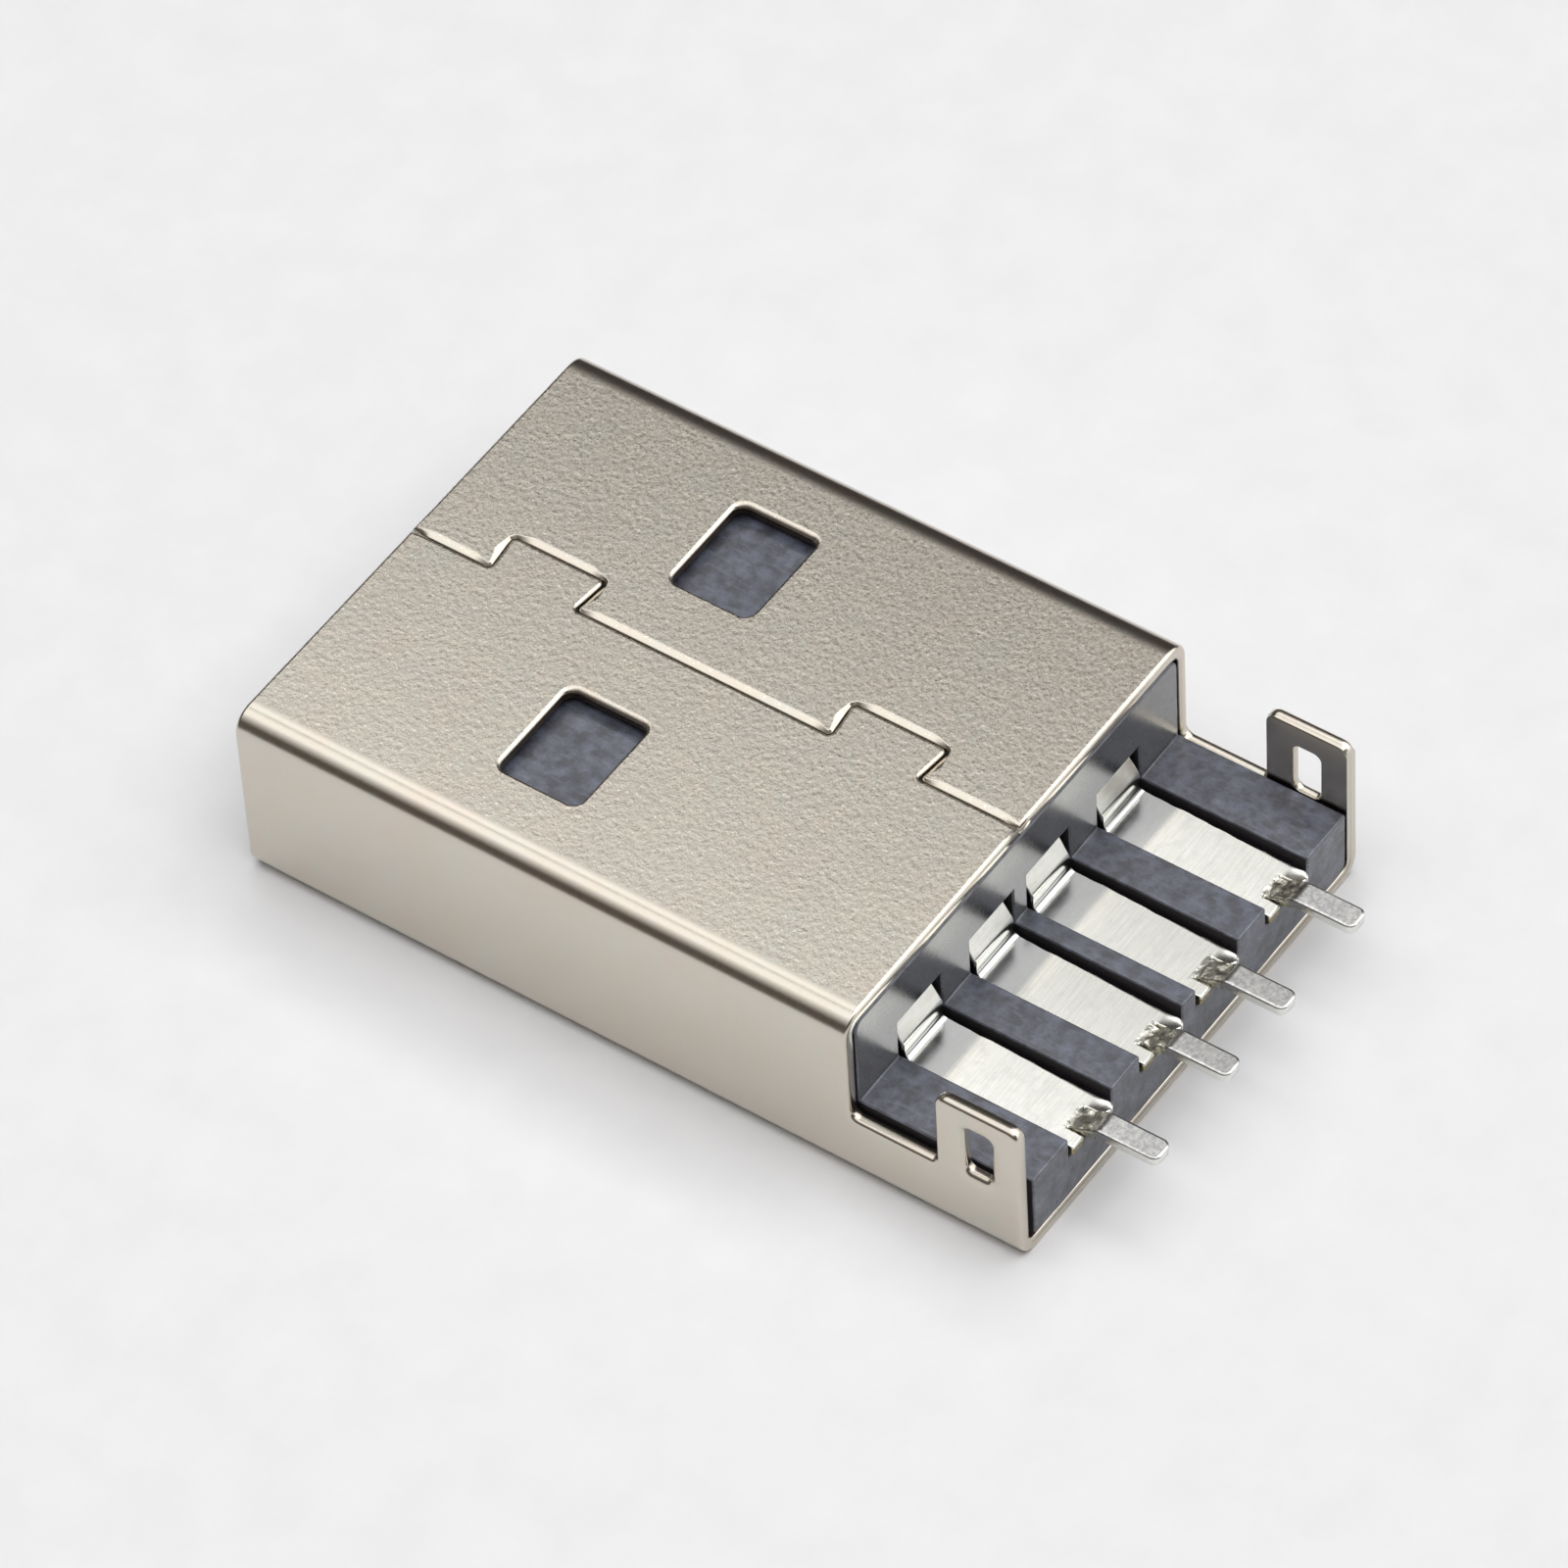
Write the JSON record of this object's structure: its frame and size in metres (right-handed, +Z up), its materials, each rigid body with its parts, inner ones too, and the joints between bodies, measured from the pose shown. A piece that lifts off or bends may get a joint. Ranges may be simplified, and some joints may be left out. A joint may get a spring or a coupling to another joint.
{
  "type": "usb-a plug",
  "caption": "Board-edge USB-A plug: folded metal shell with latch windows, locked seam and slotted solder ears, ribbed plastic housing and bent contacts with solder tails.",
  "frame": {"origin": "under the middle of the whole plug, on the outer face of its bottom sheet", "axes": "+Y is the way the plug is pushed into its socket, +X runs across it, and +Z points up through the sheet that has the seam"},
  "size_m": [0.012, 0.0204, 0.0045],
  "materials": {
    "shell_plate": "thin steel sheet with a satin nickel plate",
    "housing_plastic": "black moulded glass-filled plastic",
    "contact_tin": "bronze strip with a satin tin plate"
  },
  "bodies": {
    "root": {"shell": "shell_plate", "housing": "housing_plastic", "contact_outer_left": "contact_tin", "contact_inner_left": "contact_tin", "contact_inner_right": "contact_tin", "contact_outer_right": "contact_tin"}
  },
  "joints": []
}
